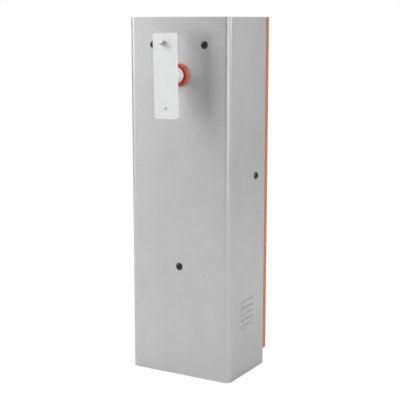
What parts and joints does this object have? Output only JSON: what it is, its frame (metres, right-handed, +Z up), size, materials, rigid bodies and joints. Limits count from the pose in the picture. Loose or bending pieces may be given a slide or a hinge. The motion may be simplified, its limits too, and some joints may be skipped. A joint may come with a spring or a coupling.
{
  "type": "parking barrier gate",
  "caption": "Tall slim barrier cabinet with a turning shaft and flat boom plate, geared motor, link drive, balance spring, control box and lockable door.",
  "frame": {"origin": "centre of the shell's plan on the ground, under the base tray", "axes": "+Z up, -Y out of the arm face, +Y out of the door, +X to the louvred side"},
  "size_m": [0.3359, 0.3175, 1],
  "materials": {
    "shell_steel": "satin, fine grain",
    "galvanised": "zinc plated",
    "rubber_black": "matt",
    "black_oxide": "black oxide, oiled",
    "carrier_paint": "satin grey paint",
    "housing_iron": "painted casting",
    "red_plastic": "satin moulded",
    "spring_steel": "black lacquer",
    "case_aluminium": "cast, satin",
    "motor_paint": "dark paint",
    "winding": "varnished winding and tape",
    "black_plastic": "moulded",
    "box_plastic": "moulded, fine texture",
    "clear_plastic": "clear moulding",
    "board_green": "solder resist",
    "terminal_plastic": "moulded",
    "turned_steel": "turned",
    "white_paint": "smooth white paint",
    "yellow_zinc": "yellow passivated zinc",
    "bright_zinc": "bright zinc",
    "lever_iron": "forged, oiled",
    "gear_steel": "cut teeth, oiled",
    "wheel_red": "moulded",
    "door_orange": "powder coat, fine texture"
  },
  "bodies": {
    "cabinet": {"cabinet_shell": "shell_steel", "base_tray": "galvanised", "top_cap": "shell_steel", "cable_grommet": "rubber_black", "face_screws": "black_oxide", "carrier_spacers": "galvanised", "front_carrier": "carrier_paint", "rear_carrier": "carrier_paint", "tie_columns": "galvanised", "shaft_bearings": "housing_iron", "ring_collar": "red_plastic", "stop_brackets": "carrier_paint", "stop_bolts": "galvanised", "stop_bumpers": "rubber_black", "spring_bracket": "carrier_paint", "balance_spring": "spring_steel", "gearbox_case": "case_aluminium", "gearbox_cover": "case_aluminium", "gearbox_screws": "black_oxide", "motor_housing": "motor_paint", "motor_stator": "winding", "motor_end_cap": "case_aluminium", "position_sensor": "black_plastic", "electronics_plate": "galvanised", "control_box": "box_plastic", "control_lid": "clear_plastic", "circuit_board": "board_green", "board_relays": "black_plastic", "board_terminals": "board_green", "transformer": "winding", "run_capacitor": "case_aluminium", "terminal_panel": "galvanised", "terminal_blocks": "terminal_plastic", "switch_body": "box_plastic", "hinge_leaves": "galvanised", "hinge_pins": "turned_steel"},
    "boom_shaft": {"main_shaft": "turned_steel", "boom_hub": "white_paint", "boom_plate": "white_paint", "boom_bolt": "yellow_zinc", "boom_nut": "bright_zinc", "rocker_lever": "lever_iron", "lever_pins": "turned_steel", "position_disc": "black_oxide"},
    "link": {"drive_rod": "lever_iron"},
    "crank": {"crank_arm": "lever_iron", "output_gear": "gear_steel"},
    "idler": {"idler_gears": "gear_steel"},
    "rotor": {"motor_rotor": "turned_steel", "hand_wheel": "wheel_red"},
    "balance": {"balance_rod": "turned_steel", "spring_cup": "turned_steel", "adjusting_nuts": "galvanised"},
    "door": {"door_panel": "door_orange", "door_gasket": "rubber_black", "door_hinge_leaves": "galvanised", "lock_housing": "turned_steel"},
    "lock": {"lock_cam": "yellow_zinc"},
    "mains_switch": {"switch_rocker": "black_plastic"}
  },
  "joints": [
    {"name": "boom_swing", "type": "hinge", "parent": "cabinet", "child": "boom_shaft", "pos_m": [0, 0, 0.845], "axis": [0, -1, 0], "range_deg": [0, 88.8]},
    {"name": "link_pivot", "type": "hinge", "parent": "boom_shaft", "child": "link", "pos_m": [-0.04243, 0, 0.88743], "axis": [0, -1, 0], "range_deg": [-89.8, 1]},
    {"name": "crank_turn", "type": "hinge", "parent": "cabinet", "child": "crank", "pos_m": [0, 0, 0.58], "axis": [0, -1, 0], "range_deg": [-1, 89.8]},
    {"name": "idler_turn", "type": "hinge", "parent": "cabinet", "child": "idler", "pos_m": [0, 0, 0.51], "axis": [0, -1, 0], "range_deg": [-360, 4]},
    {"name": "rotor_turn", "type": "hinge", "parent": "cabinet", "child": "rotor", "pos_m": [0, 0, 0.45], "axis": [0, -1, 0], "range_deg": [-4, 1440]},
    {"name": "balance_slide", "type": "slide", "parent": "cabinet", "child": "balance", "axis": [0, 0, 1], "range_m": [-0.001, 0.086], "deforming": ["balance_spring"]},
    {"name": "door_hinge", "type": "hinge", "parent": "cabinet", "child": "door", "pos_m": [-0.166, 0.104, 0.5], "axis": [0, 0, 1], "range_deg": [0, 110]},
    {"name": "lock_turn", "type": "hinge", "parent": "door", "child": "lock", "pos_m": [0.118, 0.1, 0.49], "axis": [0, 1, 0], "range_deg": [0, 90]},
    {"name": "switch_rock", "type": "hinge", "parent": "cabinet", "child": "mains_switch", "pos_m": [-0.044, 0.089, 0.24], "axis": [1, 0, 0], "range_deg": [0, 40]}
  ],
  "couplings": [
    {"joint": "link_pivot", "follows": "boom_swing", "ratio": -1},
    {"joint": "crank_turn", "follows": "boom_swing", "ratio": 1},
    {"joint": "idler_turn", "follows": "boom_swing", "ratio": -4},
    {"joint": "rotor_turn", "follows": "boom_swing", "ratio": 16},
    {"joint": "balance_slide", "follows": "boom_swing", "m_per_rad": 0.05417}
  ]
}
